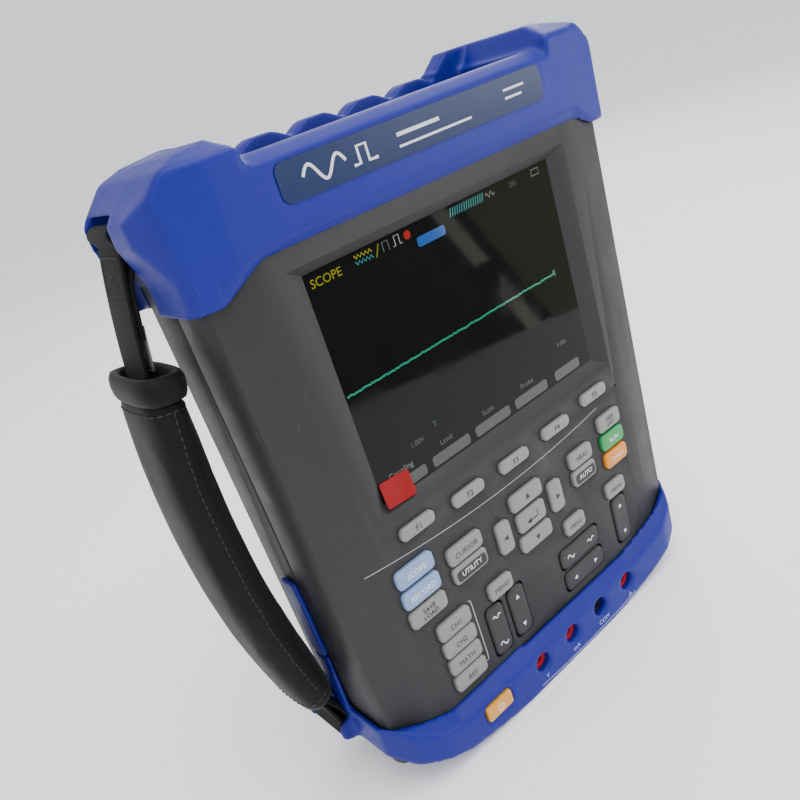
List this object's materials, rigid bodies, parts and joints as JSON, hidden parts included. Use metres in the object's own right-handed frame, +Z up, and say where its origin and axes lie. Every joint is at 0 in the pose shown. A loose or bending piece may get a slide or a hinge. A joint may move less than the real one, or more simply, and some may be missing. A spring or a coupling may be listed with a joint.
{
  "type": "handheld oscilloscope",
  "caption": "Handheld oscilloscope with a colour screen and rubber keypad, blue rubber end caps, recessed test sockets, side hand strap and fold-out rear stand.",
  "frame": {"origin": "middle of the boot's flat bottom, halfway across the case width and near the middle of its depth", "axes": "+Z up along the instrument towards the bayonet connectors, +X to the right across the screen as seen by its user, +Y from the screen towards the back"},
  "size_m": [0.2101, 0.0559, 0.24],
  "materials": {
    "grey_key": "satin light grey silicone rubber",
    "blue_key": "satin pale blue silicone rubber",
    "green_key": "satin green silicone rubber",
    "orange_key": "satin orange silicone rubber",
    "dark_rubber": "matt black silicone rubber",
    "power_key": "glossy orange plastic",
    "front_case": "fine-textured charcoal plastic",
    "rear_case": "fine-textured black plastic",
    "gasket": "black foam rubber",
    "blue_rubber": "satin royal blue rubber",
    "label": "printed dark blue film",
    "screen_glass": "glossy dark acrylic window",
    "display_frame": "pressed metal display tray",
    "red_film": "red pull tab of the protective film",
    "mat_rubber": "light silicone contact mat",
    "board": "green solder mask over glass-fibre board",
    "battery": "shrink-wrapped battery pack",
    "screw_steel": "plated steel",
    "nickel": "nickel-plated metal",
    "red_plastic": "red insulating plastic",
    "black_plastic": "black insulating plastic",
    "webbing": "dark woven nylon webbing",
    "pad_fabric": "black padded nylon sleeve with bound edges"
  },
  "bodies": {
    "housing": {"front_shell": "front_case", "rear_shell": "rear_case", "case_gasket": "gasket", "top_cap": "blue_rubber", "bottom_boot": "blue_rubber", "name_plate": "label", "screen_window": "screen_glass", "lcd_module": "display_frame", "screen_film_tab": "red_film", "keypad_mat": "mat_rubber", "main_board": "board", "battery_pack": "battery", "battery_cover": "rear_case", "battery_cover_screws": "screw_steel", "case_screws": "screw_steel", "stand_pins": "screw_steel", "bnc_connectors": "nickel", "red_jacks": "red_plastic", "common_jack": "black_plastic", "power_inlet": "black_plastic", "usb_sockets": "nickel", "strap_webbing": "webbing", "strap_pad": "pad_fabric", "strap_bars": "screw_steel"},
    "key_f1_body": {"key_f1": "grey_key"},
    "key_f2_body": {"key_f2": "grey_key"},
    "key_f3_body": {"key_f3": "grey_key"},
    "key_f4_body": {"key_f4": "grey_key"},
    "key_f5_body": {"key_f5": "grey_key"},
    "key_scope_body": {"key_scope": "blue_key"},
    "key_recorder_body": {"key_recorder": "blue_key"},
    "key_save_body": {"key_save": "grey_key"},
    "key_cursor_body": {"key_cursor": "grey_key"},
    "key_utility_body": {"key_utility": "grey_key"},
    "key_ch1_body": {"key_ch1": "grey_key"},
    "key_ch2_body": {"key_ch2": "grey_key"},
    "key_math_body": {"key_math": "grey_key"},
    "key_ref_body": {"key_ref": "grey_key"},
    "key_menu_vertical_body": {"key_menu_vertical": "grey_key"},
    "key_up_body": {"key_up": "grey_key"},
    "key_enter_body": {"key_enter": "grey_key"},
    "key_down_body": {"key_down": "grey_key"},
    "key_left_body": {"key_left": "grey_key"},
    "key_right_body": {"key_right": "grey_key"},
    "key_measure_body": {"key_measure": "grey_key"},
    "key_autoset_body": {"key_autoset": "grey_key"},
    "key_display_body": {"key_display": "grey_key"},
    "key_run_body": {"key_run": "green_key"},
    "key_single_body": {"key_single": "orange_key"},
    "key_menu_horizontal_body": {"key_menu_horizontal": "grey_key"},
    "key_menu_trigger_body": {"key_menu_trigger": "grey_key"},
    "key_power_body": {"key_power": "power_key"},
    "rocker_range_body": {"rocker_range": "dark_rubber"},
    "rocker_position_body": {"rocker_position": "dark_rubber"},
    "rocker_time_body": {"rocker_time": "dark_rubber"},
    "rocker_shift_body": {"rocker_shift": "dark_rubber"},
    "rocker_level_body": {"rocker_level": "dark_rubber"},
    "tilt_stand_body": {"tilt_stand": "rear_case"},
    "right_port_cover_body": {"right_port_cover": "blue_rubber"},
    "left_port_cover_body": {"left_port_cover": "blue_rubber"}
  },
  "joints": [
    {"name": "tilt_stand_hinge", "type": "hinge", "parent": "housing", "child": "tilt_stand_body", "pos_m": [0, 0.021, 0.178], "axis": [1, 0, 0], "range_deg": [0, 55]},
    {"name": "right_port_cover_fold", "type": "hinge", "parent": "housing", "child": "right_port_cover_body", "pos_m": [0.08815, -0.003, 0.03801], "axis": [0, 1, 0], "range_deg": [0, 95], "stiffness_Nm_per_rad": 0.02},
    {"name": "left_port_cover_fold", "type": "hinge", "parent": "housing", "child": "left_port_cover_body", "pos_m": [-0.08885, 0.002, 0.07501], "axis": [0.019, 0, 0.9998], "range_deg": [0, 15], "stiffness_Nm_per_rad": 0.02},
    {"name": "rocker_range_tilt", "type": "hinge", "parent": "housing", "child": "rocker_range_body", "pos_m": [-0.0286, -0.0185, 0.0357], "axis": [1, 0, 0], "range_deg": [-2.5, 2.5], "stiffness_Nm_per_rad": 0.1},
    {"name": "rocker_position_tilt", "type": "hinge", "parent": "housing", "child": "rocker_position_body", "pos_m": [-0.0163, -0.0185, 0.036], "axis": [1, 0, 0], "range_deg": [-2.5, 2.5], "stiffness_Nm_per_rad": 0.1},
    {"name": "rocker_time_tilt", "type": "hinge", "parent": "housing", "child": "rocker_time_body", "pos_m": [0.0234, -0.0185, 0.0396], "axis": [0, 0, 1], "range_deg": [-2.5, 2.5], "stiffness_Nm_per_rad": 0.1},
    {"name": "rocker_shift_tilt", "type": "hinge", "parent": "housing", "child": "rocker_shift_body", "pos_m": [0.0234, -0.0185, 0.0286], "axis": [0, 0, 1], "range_deg": [-2.5, 2.5], "stiffness_Nm_per_rad": 0.1},
    {"name": "rocker_level_tilt", "type": "hinge", "parent": "housing", "child": "rocker_level_body", "pos_m": [0.052, -0.0185, 0.036], "axis": [1, 0, 0], "range_deg": [-2.5, 2.5], "stiffness_Nm_per_rad": 0.1},
    {"name": "key_power_press", "type": "slide", "parent": "housing", "child": "key_power_body", "axis": [0, 1, 0], "range_m": [0, 0.001], "stiffness_N_per_m": 400, "springref_m": -0.0006},
    {"name": "key_left_press", "type": "slide", "parent": "housing", "child": "key_left_body", "axis": [0, 1, 0], "range_m": [0, 0.001], "stiffness_N_per_m": 400, "springref_m": -0.0006},
    {"name": "key_enter_press", "type": "slide", "parent": "housing", "child": "key_enter_body", "axis": [0, 1, 0], "range_m": [0, 0.001], "stiffness_N_per_m": 400, "springref_m": -0.0006},
    {"name": "key_f1_press", "type": "slide", "parent": "housing", "child": "key_f1_body", "axis": [0, 1, 0], "range_m": [0, 0.001], "stiffness_N_per_m": 400, "springref_m": -0.0006},
    {"name": "key_f2_press", "type": "slide", "parent": "housing", "child": "key_f2_body", "axis": [0, 1, 0], "range_m": [0, 0.001], "stiffness_N_per_m": 400, "springref_m": -0.0006},
    {"name": "key_f3_press", "type": "slide", "parent": "housing", "child": "key_f3_body", "axis": [0, 1, 0], "range_m": [0, 0.001], "stiffness_N_per_m": 400, "springref_m": -0.0006},
    {"name": "key_f4_press", "type": "slide", "parent": "housing", "child": "key_f4_body", "axis": [0, 1, 0], "range_m": [0, 0.001], "stiffness_N_per_m": 400, "springref_m": -0.0006},
    {"name": "key_f5_press", "type": "slide", "parent": "housing", "child": "key_f5_body", "axis": [0, 1, 0], "range_m": [0, 0.001], "stiffness_N_per_m": 400, "springref_m": -0.0006},
    {"name": "key_scope_press", "type": "slide", "parent": "housing", "child": "key_scope_body", "axis": [0, 1, 0], "range_m": [0, 0.001], "stiffness_N_per_m": 400, "springref_m": -0.0006},
    {"name": "key_recorder_press", "type": "slide", "parent": "housing", "child": "key_recorder_body", "axis": [0, 1, 0], "range_m": [0, 0.001], "stiffness_N_per_m": 400, "springref_m": -0.0006},
    {"name": "key_save_press", "type": "slide", "parent": "housing", "child": "key_save_body", "axis": [0, 1, 0], "range_m": [0, 0.001], "stiffness_N_per_m": 400, "springref_m": -0.0006},
    {"name": "key_cursor_press", "type": "slide", "parent": "housing", "child": "key_cursor_body", "axis": [0, 1, 0], "range_m": [0, 0.001], "stiffness_N_per_m": 400, "springref_m": -0.0006},
    {"name": "key_utility_press", "type": "slide", "parent": "housing", "child": "key_utility_body", "axis": [0, 1, 0], "range_m": [0, 0.001], "stiffness_N_per_m": 400, "springref_m": -0.0006},
    {"name": "key_ch1_press", "type": "slide", "parent": "housing", "child": "key_ch1_body", "axis": [0, 1, 0], "range_m": [0, 0.001], "stiffness_N_per_m": 400, "springref_m": -0.0006},
    {"name": "key_ch2_press", "type": "slide", "parent": "housing", "child": "key_ch2_body", "axis": [0, 1, 0], "range_m": [0, 0.001], "stiffness_N_per_m": 400, "springref_m": -0.0006},
    {"name": "key_math_press", "type": "slide", "parent": "housing", "child": "key_math_body", "axis": [0, 1, 0], "range_m": [0, 0.001], "stiffness_N_per_m": 400, "springref_m": -0.0006},
    {"name": "key_ref_press", "type": "slide", "parent": "housing", "child": "key_ref_body", "axis": [0, 1, 0], "range_m": [0, 0.001], "stiffness_N_per_m": 400, "springref_m": -0.0006},
    {"name": "key_menu_vertical_press", "type": "slide", "parent": "housing", "child": "key_menu_vertical_body", "axis": [0, 1, 0], "range_m": [0, 0.001], "stiffness_N_per_m": 400, "springref_m": -0.0006},
    {"name": "key_up_press", "type": "slide", "parent": "housing", "child": "key_up_body", "axis": [0, 1, 0], "range_m": [0, 0.001], "stiffness_N_per_m": 400, "springref_m": -0.0006},
    {"name": "key_down_press", "type": "slide", "parent": "housing", "child": "key_down_body", "axis": [0, 1, 0], "range_m": [0, 0.001], "stiffness_N_per_m": 400, "springref_m": -0.0006},
    {"name": "key_right_press", "type": "slide", "parent": "housing", "child": "key_right_body", "axis": [0, 1, 0], "range_m": [0, 0.001], "stiffness_N_per_m": 400, "springref_m": -0.0006},
    {"name": "key_measure_press", "type": "slide", "parent": "housing", "child": "key_measure_body", "axis": [0, 1, 0], "range_m": [0, 0.001], "stiffness_N_per_m": 400, "springref_m": -0.0006},
    {"name": "key_autoset_press", "type": "slide", "parent": "housing", "child": "key_autoset_body", "axis": [0, 1, 0], "range_m": [0, 0.001], "stiffness_N_per_m": 400, "springref_m": -0.0006},
    {"name": "key_display_press", "type": "slide", "parent": "housing", "child": "key_display_body", "axis": [0, 1, 0], "range_m": [0, 0.001], "stiffness_N_per_m": 400, "springref_m": -0.0006},
    {"name": "key_run_press", "type": "slide", "parent": "housing", "child": "key_run_body", "axis": [0, 1, 0], "range_m": [0, 0.001], "stiffness_N_per_m": 400, "springref_m": -0.0006},
    {"name": "key_single_press", "type": "slide", "parent": "housing", "child": "key_single_body", "axis": [0, 1, 0], "range_m": [0, 0.001], "stiffness_N_per_m": 400, "springref_m": -0.0006},
    {"name": "key_menu_horizontal_press", "type": "slide", "parent": "housing", "child": "key_menu_horizontal_body", "axis": [0, 1, 0], "range_m": [0, 0.001], "stiffness_N_per_m": 400, "springref_m": -0.0006},
    {"name": "key_menu_trigger_press", "type": "slide", "parent": "housing", "child": "key_menu_trigger_body", "axis": [0, 1, 0], "range_m": [0, 0.001], "stiffness_N_per_m": 400, "springref_m": -0.0006}
  ]
}
